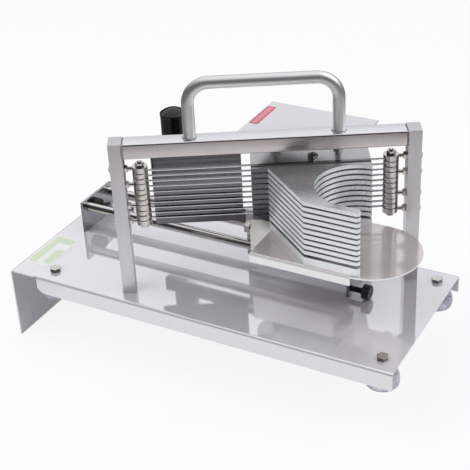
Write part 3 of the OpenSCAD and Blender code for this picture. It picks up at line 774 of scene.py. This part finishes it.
@dataclass
class BasePart:
    """Folded base sheet with its feet, foot bolts and a blank label."""

    edge_mm: float = 0.25
    bolt_edge_mm: float = 0.5
    bolt_flat: float = 0.6
    lip_reach_mm: float = 10.0
    feet: int = 4
    foot_r_mm: float = 16.8
    foot_h_mm: float = 25.5
    foot_profile: tuple[Pair, ...] = (
        (0, 0.26), (0.4, 0.24), (0.62, 0.15), (0.78, 0.02), (0.84, 0), (0.9, 0), (0.95, 0.04), (0.98, 0.12),
        (1, 0.25), (0.97, 0.38), (0.92, 0.48), (0.84, 0.6), (0.74, 0.69), (0.62, 0.78), (0.56, 0.86),
        (0.55, 0.98), (0.53, 1), (0, 1))
    label_mm: Pair = (30.0, 58.5)
    label_at_mm: Pair = (-197.0, -40.2)
    label_cards: tuple[LabelCard, ...] = (
        LabelCard("base_label", (1, 1), (0, 0), 1.2, 2.2, 0.0, LABEL_GREEN),
        LabelCard("base_label_window", (0.57, 0.74), (0.185, -0.09), 0.8, 1.2, 0.1, LABEL_WHITE),
        LabelCard("base_label_block", (0.34, 0.5), (0.29, -0.175), 0.5, 0.6, 0.2, LABEL_GREEN))

    def build(self) -> None:
        """Builds and dresses the base's pieces."""
        self.sheet()
        # Flat bolt tops in nickel, sides in the dark copy as painted shade.
        bolts = edge_lit(soften(merged_copy("foot_bolts"), self.bolt_edge_mm), self.bolt_flat)
        lay_node(bolts, "foot_bolts", [NICKEL, BOLT_SIDE_SHADE], Body.BASE)
        for number in range(1, self.feet + 1):
            self.foot(f"foot_cup_{number}")
        self.label()

    def sheet(self) -> None:
        """Dresses the folded sheet, with a darker, fully mirrored copy of its metal on the inside of the lip:
        the mirroring is real, the darker colour painted shade.
        """
        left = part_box("base_plate")[0][0]
        bm = soften(merged_copy("base_plate"), self.edge_mm)
        for face in bm.faces:
            inside = face.normal.x > FACING and face.calc_center_median().x < left + self.lip_reach_mm * MM
            face.material_index = 1 if inside else 0
        lay_node(bm, "base_plate", [BASE_SHEET, LIP_INSIDE_SHADE], Body.BASE)

    def foot(self, node: str) -> None:
        """Spins one soft foot.

        Args:
            node: the CAD node of the foot.
        """
        low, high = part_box(node)
        profile = [(across * self.foot_r_mm, up * self.foot_h_mm) for across, up in self.foot_profile]
        bm = moved(turned(profile), stand_at(low, high, low[2]))
        lay_node(bm, node, [CLEAR_RUBBER], Body.BASE, smooth=60.0)

    def label(self) -> None:
        """Lays the blank label beside the left end of the base, as cards that lie on each other."""
        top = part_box("base_plate")[1][2]
        length, width = self.label_mm
        x, y = (value * MM for value in self.label_at_mm)
        for part in self.label_cards:
            bm = card(length * part.size[0], width * part.size[1], part.corner_mm, part.border_mm)
            place = Matrix.Translation((x + part.shift[0] * length * MM, y + part.shift[1] * width * MM,
                                        top + part.rise_mm * MM))
            lay(moved(bm, place), part.name, [LABEL_WHITE, part.field], Body.BASE)


@dataclass
class RailPart:
    """Rail plates, guide rods, rubber stops and the turning thumbscrew."""

    plate_edge_mm: float = 0.4
    rod_edge_mm: float = 0.8
    stop_d_mm: float = 14.0
    stop_dish_mm: float = 2.5
    screw_d_mm: float = 6.0
    screw_pitch_mm: float = 1.0
    head_d_mm: float = 15.0
    head_len_mm: float = 8.0
    head_edge_mm: float = 0.7
    head_edge_turn: float = 60.0
    flutes: int = 12
    flute_points: int = 4
    flute_share: float = 0.92

    def build(self) -> None:
        """Builds and dresses the rails' pieces."""
        for node in ("left_end_plate", "right_end_plate"):
            dress(node, RAIL_PLATE_DARK, Body.BASE, self.plate_edge_mm)
        for node in ("front_guide_rod", "rear_guide_rod"):
            dress(node, GROUND_ROD, Body.BASE, self.rod_edge_mm)
        self.stop("bumper_1", True)
        self.stop("bumper_2", False)
        self.thumbscrew()

    def stop(self, node: str, faces_right: bool) -> None:
        """Spins one rubber stop with a dished face.

        Args:
            node: the CAD node of the stop.
            faces_right: whether its free face looks towards the right end.
        """
        low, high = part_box(node)
        r, h = self.stop_d_mm / 2, (high[0] - low[0]) / MM
        dish = h - self.stop_dish_mm
        profile = [(0, 0), (r - 0.4, 0), (r, 0.5), (r, h - 2.0), (r - 0.6, h - 0.6), (r - 2.0, h),
                   (r * 0.45, h), (r * 0.4, h - 0.5), (r * 0.38, dish), (0, dish)]
        lay_node(moved(turned(profile), lie_at(low, high, faces_right)), node, [STOP_RUBBER], Body.BASE)

    def thumbscrew(self) -> None:
        """Builds the fluted thumbscrew with its threaded shank."""
        low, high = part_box("thumbscrew")
        head = bmesh.new()
        bmesh.ops.create_circle(head, cap_ends=True, segments=self.flutes * self.flute_points,
                                radius=self.head_d_mm / 2 * MM)
        head.verts.ensure_lookup_table()
        valley = [vert for vert in head.verts if vert.index % self.flute_points in (0, 1)]
        bmesh.ops.scale(head, vec=(self.flute_share, self.flute_share, 1.0), verts=valley)
        raise_faces(head, self.head_len_mm * MM, False)
        soften(head, self.head_edge_mm, self.head_edge_turn)
        length = (high[0] - low[0]) / MM - self.head_len_mm
        moved(head, Matrix.Translation((0, 0, length * MM)))
        shank = threaded(self.screw_d_mm / 2, length, self.screw_pitch_mm)
        lay_node(moved(gather([head, shank]), lie_at(low, high, True)), "thumbscrew", [KNOB_PLASTIC],
                 Body.THUMBSCREW, smooth=30.0)


@dataclass
class FramePart:
    """Uprights, beam and carry handle, with the weld beads between them."""

    corner_mm: float = 1.8
    handle_edge_mm: float = 0.3
    post_mm: Pair = (13.0, 19.0)
    width_mm: float = 298.0
    beam_h_mm: float = 16.0
    handle_span_mm: float = 142.0
    handle_d_mm: float = 12.0
    start_mm: Pair = (-81.0, -79.0)
    bead_mm: float = 1.2
    bead_squash: float = 0.75
    bead_waves: tuple[Pair, ...] = ((0.18, 2.4), (0.1, 5.1))
    ring_beads: int = 18
    ring_share: float = 0.52
    seam_beads: int = 9
    seam_deep_mm: float = 0.4
    seam_end_mm: float = 1.0

    def build(self) -> None:
        """Builds and dresses the frame's pieces."""
        for node in ("left_upright", "right_upright"):
            dress(node, SATIN_UPRIGHT, Body.BASE, self.corner_mm)
        # Top faces take the light copy, the sides the darker brownish one: painted light and painted shade.
        beam = soften(merged_copy("top_beam"), self.corner_mm)
        for face in beam.faces:
            face.material_index = 0 if face.normal.z > FACING else 1
        lay_node(beam, "top_beam", [BEAM_TOP_LIGHT, BEAM_SIDE_SHADE], Body.BASE)
        dress("carry_handle", POLISHED_BAR, Body.BASE, self.handle_edge_mm)
        self.beads()

    def at(self, along: float, deep: float, height: float) -> Vector:
        """Place of a point of the frame.

        Args:
            along: distance along the frame, in millimetres.
            deep: distance behind its front face, in millimetres.
            height: height above the floor, in metres.

        Returns:
            The point, in metres.
        """
        start = Vector((self.start_mm[0] * MM, self.start_mm[1] * MM, height))
        return start + Matrix.Rotation(FRAME_TURN, 3, "Z") @ Vector((along * MM, deep * MM, 0.0))

    def bead_run(self, points: Sequence[Vector]) -> BMesh:
        """Makes a run of lumpy weld beads.

        Args:
            points: middles of the beads.

        Returns:
            The beads' mesh.
        """
        run = bmesh.new()
        squash = Matrix.Diagonal((1.0, 1.0, self.bead_squash, 1.0))
        for number, point in enumerate(points):
            swell = 1.0
            for share, rate in self.bead_waves:
                swell += share * math.sin(rate * number)
            bmesh.ops.create_icosphere(run, subdivisions=2, radius=self.bead_mm * swell * MM,
                                       matrix=Matrix.Translation(point) @ squash)
        return run

    def beads(self) -> None:
        """Lays the beads round the handle's feet and down the beam's ends."""
        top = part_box("top_beam")[1][2]
        post_w, post_d = self.post_mm
        reach = self.handle_d_mm * self.ring_share
        step = (self.beam_h_mm - 2 * self.seam_end_mm) / (self.seam_beads - 1)
        runs = []
        for side in (-1, 1):
            middle = self.width_mm / 2 + side * self.handle_span_mm / 2
            ring = [self.at(middle + math.cos(angle) * reach, post_d / 2 + math.sin(angle) * reach, top)
                    for angle in (math.tau * part / self.ring_beads for part in range(self.ring_beads))]
            runs.append(self.bead_run(ring))
            seam = post_w if side < 0 else self.width_mm - post_w
            down = [self.at(seam, self.seam_deep_mm, top - (self.seam_end_mm + part * step) * MM)
                    for part in range(self.seam_beads)]
            runs.append(self.bead_run(down))
        lay(gather(runs), "weld_beads", [WELD], Body.BASE, smooth=60.0)


@dataclass
class BladePart:
    """Blades between their two columns, with the bolts that pull them tight."""

    count: int = 10
    bolt_edge_mm: float = 0.8
    disc_edge_mm: float = 0.7
    eye_edge_mm: float = 0.4
    nut_edge_mm: float = 0.5

    def build(self) -> None:
        """Builds and dresses the blades and their columns."""
        for side in ("left", "right"):
            dress(f"{side}_tension_bolt", NICKEL, Body.BASE, self.bolt_edge_mm)
            dress(f"{side}_spacers", NICKEL, Body.BASE, self.disc_edge_mm)
            dress(f"{side}_eye_bolts", NICKEL, Body.BASE, self.eye_edge_mm)
        dress("tension_nuts", NICKEL, Body.BASE, self.nut_edge_mm)
        dress("eye_nuts", NICKEL, Body.BASE, self.eye_edge_mm)
        for number in range(1, self.count + 1):
            self.blade(f"blade_{number}")

    def blade(self, node: str) -> None:
        """Dresses one blade, with its edges painted bright as a highlight and its flats painted dark as a
        reflection of dark surroundings.
        """
        lay_node(edge_lit(merged_copy(node)), node, [BLADE_FLAT_DARK, BLADE_EDGE_LIGHT], Body.BASE, smooth=30.0)


@dataclass
class CarriagePart:
    """Sliding plate with its nylon sliders, bolts and deck."""

    edge_mm: float = 0.4
    slider_edge_mm: float = 1.0
    tray_edge_mm: float = 0.25
    tray_flat: float = 0.7

    def build(self) -> None:
        """Builds and dresses the carriage's pieces."""
        dress("carriage_web", SATIN_PLATE, Body.CARRIAGE, self.edge_mm)
        dress("front_slider", NYLON, Body.CARRIAGE, self.slider_edge_mm)
        dress("rear_slider", NYLON, Body.CARRIAGE, self.slider_edge_mm)
        dress("slider_bolts", NICKEL, Body.CARRIAGE, self.edge_mm)
        # Flat top in the darker pinkish copy, lip faces in the lighter copy: painted shade and painted light.
        tray = edge_lit(soften(merged_copy("deck_tray"), self.tray_edge_mm), self.tray_flat)
        lay_node(tray, "deck_tray", [DECK_TOP_SHADE, DECK_LIP_LIGHT], Body.CARRIAGE)


@dataclass
class PusherPart:
    """Stack of notched plates under its guard, with studs, rings and nuts."""

    count: int = 10
    edge_mm: float = 0.3
    ring_edge_mm: float = 0.2
    nut_edge_mm: float = 0.5
    pitch_mm: float = 1.0
    thread_mm: float = 26.0
    comb_mm: float = 52.0
    comb_facing: float = 0.8
    below_facing: float = 0.5
    plug_rim_mm: float = 0.8
    flush_mm: float = 0.1
    strip_mm: Pair = (9.5, 42.0)
    strip_at_mm: Pair = (19.0, 47.9)
    strip_corner_mm: float = 0.8
    strip_border_mm: float = 2.0

    def build(self) -> None:
        """Builds and dresses the stack's pieces."""
        for node in ("pusher_base", *(f"pusher_plate_{number}" for number in range(1, self.count + 1))):
            self.plate(node)
        dress("plate_spacers", NICKEL, Body.CARRIAGE, self.ring_edge_mm)
        self.studs()
        dress("stack_nuts", NICKEL, Body.CARRIAGE, self.nut_edge_mm)
        # Faces that look down take the dark copy as painted shade.
        guard = soften(merged_copy("top_guard"), self.edge_mm)
        for face in guard.faces:
            face.material_index = 1 if face.normal.z < -self.below_facing else 0
        lay_node(guard, "top_guard", [GUARD_SHEET, GUARD_UNDERSIDE_SHADE], Body.CARRIAGE)
        self.plugs()
        self.strip()

    def plate(self, node: str) -> None:
        """Dresses one plate, with its edges painted bright as a highlight and its ends at the left of the
        comb painted dark as shade.

        Args:
            node: the CAD node of the plate.
        """
        bm = edge_lit(soften(merged_copy(node), self.edge_mm))
        ahead = Vector((math.sin(FRAME_TURN), -math.cos(FRAME_TURN), 0.0))
        for face in bm.faces:
            in_comb = face.calc_center_median().x < self.comb_mm * MM
            if in_comb and face.normal.dot(ahead) > self.comb_facing:
                face.material_index = 2
        lay_node(bm, node, [PLATE_FLAT, PLATE_EDGE_LIGHT, PLATE_END], Body.CARRIAGE)

    def plugs(self) -> None:
        """Closes the rear studs' holes in the guard with plug welds ground almost flush."""
        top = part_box("top_guard")[1][2]
        discs = []
        for low, high in islands("stack_studs"):
            if abs(high.z - top) < self.flush_mm * MM:
                r = (high.x - low.x) / (2 * MM) + self.plug_rim_mm
                disc = turned([(0, 0), (r, 0), (r - 0.3, 0.04), (0, 0.05)], 32)
                discs.append(moved(disc, stand_at(low, high, top)))
        lay(gather(discs), "guard_plug_welds", [GUARD_SHEET], Body.CARRIAGE)

    def studs(self) -> None:
        """Cuts the three studs' threads."""
        rods = []
        for low, high in islands("stack_studs"):
            size = (high - low) / MM
            rod = threaded(size.x / 2, size.z, self.pitch_mm, size.z - self.thread_mm)
            rods.append(moved(rod, stand_at(low, high, low.z)))
        lay_node(gather(rods), "stack_studs", [NICKEL], Body.CARRIAGE, smooth=30.0)

    def strip(self) -> None:
        """Lays the blank edge strip on the guard's left side."""
        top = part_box("top_guard")[1][2]
        x, y = (value * MM for value in self.strip_at_mm)
        bm = card(*self.strip_mm, self.strip_corner_mm, self.strip_border_mm)
        lay(moved(bm, Matrix.Translation((x, y, top))), "guard_edge_strip", [STRIP_RED, STRIP_PINK],
            Body.CARRIAGE)


@dataclass
class HandlePart:
    """Finger panel and the push handle behind it."""

    panel_edge_mm: float = 0.3
    screw_edge_mm: float = 0.5
    post_edge_mm: float = 0.6
    grip_r_mm: float = 13.75
    rim_mm: float = 8.0
    dome_mm: float = 4.6
    dome_steps: int = 10

    def build(self) -> None:
        """Builds and dresses the handle's pieces."""
        # The panel is painted dark as a reflection of dark surroundings.
        dress("finger_guard", PANEL_PAINTED_DARK, Body.CARRIAGE, self.panel_edge_mm)
        dress("panel_screws", NICKEL, Body.CARRIAGE, self.screw_edge_mm)
        dress("handle_post", SATIN_PLATE, Body.CARRIAGE, self.post_edge_mm)
        self.grip()

    def grip(self) -> None:
        """Spins the black grip with a rim under its domed top."""
        low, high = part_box("handle_grip")
        r, h = self.grip_r_mm, (high[2] - low[2]) / MM
        rim = h - self.rim_mm
        edge = r - 1.0
        dome_r = (edge * edge + self.dome_mm * self.dome_mm) / (2 * self.dome_mm)
        reach = math.asin(edge / dome_r)
        angles = [reach * part / self.dome_steps for part in range(self.dome_steps, -1, -1)]
        dome = [(dome_r * math.sin(angle), rim + 0.5 + self.dome_mm - dome_r + dome_r * math.cos(angle))
                for angle in angles]
        profile = [(0, 0), (r - 1.8, 0), (r - 0.8, 0.5), (r - 0.5, 1.6), (r - 0.4, rim - 2.6),
                   (r - 0.1, rim - 1.8), (r, rim - 1.0), (r - 0.1, rim - 0.3), (r - 0.4, rim + 0.2), *dome]
        lay_node(moved(turned(profile, 72), stand_at(low, high, low[2])), "handle_grip", [GRIP_PLASTIC],
                 Body.CARRIAGE, smooth=30.0)


@dataclass
class Studio:
    """Pale floor, white surround, soft lamps and the camera; shiny surfaces also mirror darker zones."""

    eye: Triple = (0.5240, -0.9012, 0.7441)
    azimuth: float = 29.808
    elevation: float = 30.628
    roll: float = -2.999
    lens_mm: float = 91.412
    sensor_mm: float = 36.0
    lamps_aim: Triple = (0.0, 0.0, 0.15)
    floor_m: float = 6.0
    floor_paint: float = 0.9
    floor_seen: float = 0.86
    floor_shine: float = 0.15
    near_m: Pair = (0.28, 0.42)
    dusk_m: Pair = (0.48, 0.8)
    sunny_side: Triple = (0.9, -0.44, 0.0)
    sunny_turn: Pair = (-0.1, 0.75)
    shade_share: float = 0.8
    shade_colour: Triple = (0.09, 0.07, 0.07)
    dusk_colour: Triple = (0.04, 0.04, 0.05)
    sky_colour: Triple = (0.97, 0.98, 1.0)
    front_turn: Pair = (-0.25, 0.15)
    front_rise: Pair = (0.78, 0.9)
    rim_rise: Pair = (0.26, 0.4)
    soft_light: float = 0.6

    def build(self) -> None:
        """Builds the floor, the world, the lamps and the camera."""
        bpy.context.scene.view_settings.view_transform = "Standard"
        self.floor()
        self.world()
        self.lamp("key_lamp", at=(-0.9, -0.7, 1.7), size=1.4, watts=16.0, mirrored=False)
        self.lamp("fill_lamp", at=(1.2, 0.5, 1.3), size=1.6, watts=8.0, mirrored=True)
        self.camera()

    def clear_rays(self, graph: Graph) -> Socket:
        """Adds the share of rays that show the surroundings: camera, mirrored and transmitted ones.

        Args:
            graph: tree to add to.

        Returns:
            The socket of that share.
        """
        path = graph.add("ShaderNodeLightPath").outputs
        shiny = graph.join(path["Is Glossy Ray"], path["Is Transmission Ray"], "MAXIMUM")
        return graph.join(path["Is Camera Ray"], shiny, "MAXIMUM")

    def floor(self) -> None:
        """Lays the floor under the object's lowest point."""
        bm = bmesh.new()
        bmesh.ops.create_grid(bm, x_segments=1, y_segments=1, size=self.floor_m)
        mesh = bpy.data.meshes.new("studio_floor")
        bm.to_mesh(mesh)
        bm.free()
        material = bpy.data.materials.new("floor_paint")
        material.use_nodes = True
        self.paint_floor(Graph(material.node_tree))
        mesh.materials.append(material)
        floor = bpy.data.objects.new("studio_floor", mesh)
        bpy.context.scene.collection.objects.link(floor)

    def paint_floor(self, graph: Graph) -> None:
        """Paints the floor white, and dark to mirrored rays far from the object and on its shady side.

        Args:
            graph: empty tree of the floor's material.
        """
        place = graph.place()
        reach = graph.add("ShaderNodeVectorMath", {0: place}, operation="LENGTH").outputs["Value"]
        path = graph.add("ShaderNodeLightPath").outputs
        along = graph.add("ShaderNodeVectorMath", {0: place, 1: self.sunny_side}, operation="DOT_PRODUCT")
        sunny = graph.join(along.outputs["Value"], reach, "DIVIDE")
        apart = graph.spread(reach, 0.0, 1.0, *self.near_m)
        shade = graph.join(graph.spread(sunny, self.shade_share, 0.0, *self.sunny_turn), apart, "MULTIPLY")
        dim = graph.join(graph.spread(reach, 0.0, 1.0, *self.dusk_m), shade, "MAXIMUM")
        dusk = graph.join(dim, path["Is Glossy Ray"], "MULTIPLY")
        matt = (self.floor_paint, self.floor_paint, self.floor_paint, 1.0)
        paint = graph.add("ShaderNodeBsdfDiffuse", {"Color": matt}).outputs[0]
        white = graph.add("ShaderNodeEmission", {"Color": WHITE, "Strength": 1.0}).outputs[0]
        dark = (*self.shade_colour, 1.0)
        brown = graph.add("ShaderNodeEmission", {"Color": dark, "Strength": 1.0}).outputs[0]
        seen = graph.spread(path["Is Camera Ray"], 0.0, self.floor_seen, 0.0, 1.0)
        shiny = graph.spread(self.clear_rays(graph), 0.0, self.floor_shine, 0.0, 1.0)
        share = graph.join(seen, shiny, "MAXIMUM")
        pale = graph.add("ShaderNodeMixShader", {0: share, 1: paint, 2: white}).outputs[0]
        graph.close(graph.add("ShaderNodeMixShader", {0: dusk, 1: pale, 2: brown}))

    def world(self) -> None:
        """Sets a white surround with a softer light, and a dark room round the horizon for shiny surfaces."""
        world = bpy.data.worlds.new("studio_surround")
        world.use_nodes = True
        bpy.context.scene.world = world
        graph = Graph(world.node_tree)
        toward = graph.add("ShaderNodeTexCoord").outputs["Generated"]
        parts = graph.add("ShaderNodeSeparateXYZ", {0: toward}).outputs
        front = graph.spread(parts["Y"], 1.0, 0.0, *self.front_turn)
        low = graph.join(graph.spread(parts["Z"], 1.0, 0.0, *self.front_rise), front, "MULTIPLY")
        rim = graph.spread(parts["Z"], 1.0, 0.0, *self.rim_rise)
        band = graph.tint(graph.join(low, rim, "MAXIMUM"), self.sky_colour, self.dusk_colour)
        path = graph.add("ShaderNodeLightPath").outputs
        seen = graph.add("ShaderNodeMix", {0: path["Is Camera Ray"], 6: band, 7: WHITE},
                         data_type="RGBA").outputs[2]
        white = graph.add("ShaderNodeBackground", {"Color": seen, "Strength": 1.0}).outputs[0]
        soft = graph.add("ShaderNodeBackground", {"Color": WHITE, "Strength": self.soft_light}).outputs[0]
        graph.close(graph.add("ShaderNodeMixShader", {0: self.clear_rays(graph), 1: soft, 2: white}),
                    "ShaderNodeOutputWorld")

    def lamp(self, name: str, at: Triple, size: float, watts: float, mirrored: bool) -> None:
        """Hangs a square soft lamp that looks at the object.

        Args:
            name: name of the lamp.
            at: its place, in metres.
            size: length of its side, in metres.
            watts: its power.
            mirrored: whether shiny surfaces show it.
        """
        light = bpy.data.lights.new(name, "AREA")
        light.size = size
        light.energy = watts
        lamp = bpy.data.objects.new(name, light)
        lamp.visible_glossy = mirrored
        aim = Vector(self.lamps_aim) - Vector(at)
        lamp.matrix_world = Matrix.Translation(at) @ aim.to_track_quat("-Z", "Y").to_matrix().to_4x4()
        bpy.context.scene.collection.objects.link(lamp)

    def camera(self) -> None:
        """Sets the camera at the photograph's angle."""
        turn, lift, roll = (math.radians(angle) for angle in (self.azimuth, self.elevation, self.roll))
        back = Vector((math.sin(turn) * math.cos(lift), -math.cos(turn) * math.cos(lift), math.sin(lift)))
        level = Vector((math.cos(turn), math.sin(turn), 0.0))
        rise = back.cross(level)
        right = math.cos(roll) * level + math.sin(roll) * rise
        up = -math.sin(roll) * level + math.cos(roll) * rise
        lens = bpy.data.cameras.new("photo_camera")
        lens.sensor_fit = "HORIZONTAL"
        lens.sensor_width = self.sensor_mm
        lens.lens = self.lens_mm
        camera = bpy.data.objects.new("photo_camera", lens)
        camera.matrix_world = Matrix.Translation(self.eye) @ Matrix((right, up, back)).transposed().to_4x4()
        bpy.context.scene.collection.objects.link(camera)
        bpy.context.scene.camera = camera


def main() -> None:
    """Builds the slicer's sub-assemblies and the studio in order."""
    logging.basicConfig(level=logging.INFO, format="%(name)s: %(message)s")
    parts = (Studio(), BasePart(), RailPart(), FramePart(), BladePart(), CarriagePart(), PusherPart(),
             HandlePart())
    for part in parts:
        part.build()
        log.info("%s done", type(part).__name__)


if __name__ == "__main__":
    main()
